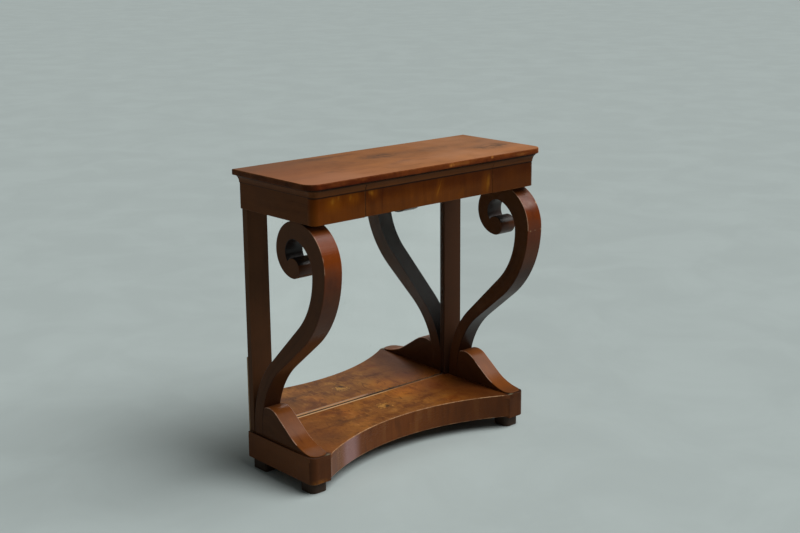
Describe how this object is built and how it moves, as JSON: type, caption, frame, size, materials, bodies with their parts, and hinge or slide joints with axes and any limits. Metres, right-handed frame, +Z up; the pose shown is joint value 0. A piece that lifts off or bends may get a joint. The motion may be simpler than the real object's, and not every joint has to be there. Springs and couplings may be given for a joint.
{
  "type": "pier table",
  "caption": "Pier table with a thin top over a frieze drawer, volute scroll supports in front, a mirror plate between flat back posts, and a low plinth with a concave front on block feet.",
  "frame": {"origin": "on the floor, under the middle of the table's bounding box", "axes": "+Z up, +X to the right of someone who faces the table, -Y towards the front"},
  "size_m": [0.85, 0.359, 0.85],
  "materials": {
    "mahogany": "dark french polish",
    "mahogany_frieze": "polished figured veneer",
    "mahogany_top": "faded, thin satin polish",
    "mahogany_base": "worn satin polish",
    "pine": "bare, aged",
    "oak": "bare, aged",
    "mirror": "old silvered glass",
    "iron": "dark wrought iron"
  },
  "bodies": {
    "carcase": {"back_nails": "iron", "back_post_left": "mahogany", "back_post_right": "mahogany", "cove_left": "mahogany", "cove_right": "mahogany", "drawer_kicker_left": "pine", "drawer_kicker_right": "pine", "drawer_partition_left": "pine", "drawer_partition_right": "pine", "drawer_runner_left": "pine", "drawer_runner_right": "pine", "drawer_stops": "pine", "foot_back_left": "mahogany", "foot_back_right": "mahogany", "foot_front_left": "mahogany", "foot_front_right": "mahogany", "foot_screws": "iron", "frieze_back_rail": "pine", "frieze_front_left": "mahogany_frieze", "frieze_front_right": "mahogany_frieze", "frieze_side_left": "mahogany", "frieze_side_right": "mahogany", "frieze_soffit_left": "pine", "frieze_soffit_right": "pine", "lower_back_panel": "pine", "mirror_backing_lower": "pine", "mirror_backing_upper": "pine", "mirror_plate": "mirror", "plinth_back": "pine", "plinth_back_block_left": "pine", "plinth_back_block_right": "pine", "plinth_corner_left": "mahogany", "plinth_corner_right": "mahogany", "plinth_front": "mahogany", "plinth_glue_blocks": "pine", "plinth_side_left": "mahogany", "plinth_side_right": "mahogany", "plinth_top": "mahogany_base", "scroll_bracket_left": "mahogany", "scroll_bracket_right": "mahogany", "scroll_dowels": "pine", "scroll_left": "mahogany", "scroll_right": "mahogany", "table_top": "mahogany_top", "top_glue_blocks": "pine"},
    "drawer": {"drawer_back": "oak", "drawer_bottom": "oak", "drawer_cove": "mahogany", "drawer_front": "mahogany_frieze", "drawer_side_left": "oak", "drawer_side_right": "oak"}
  },
  "joints": [
    {"name": "drawer_slide", "type": "slide", "parent": "carcase", "child": "drawer", "axis": [0, -1, 0], "range_m": [0, 0.19]}
  ]
}
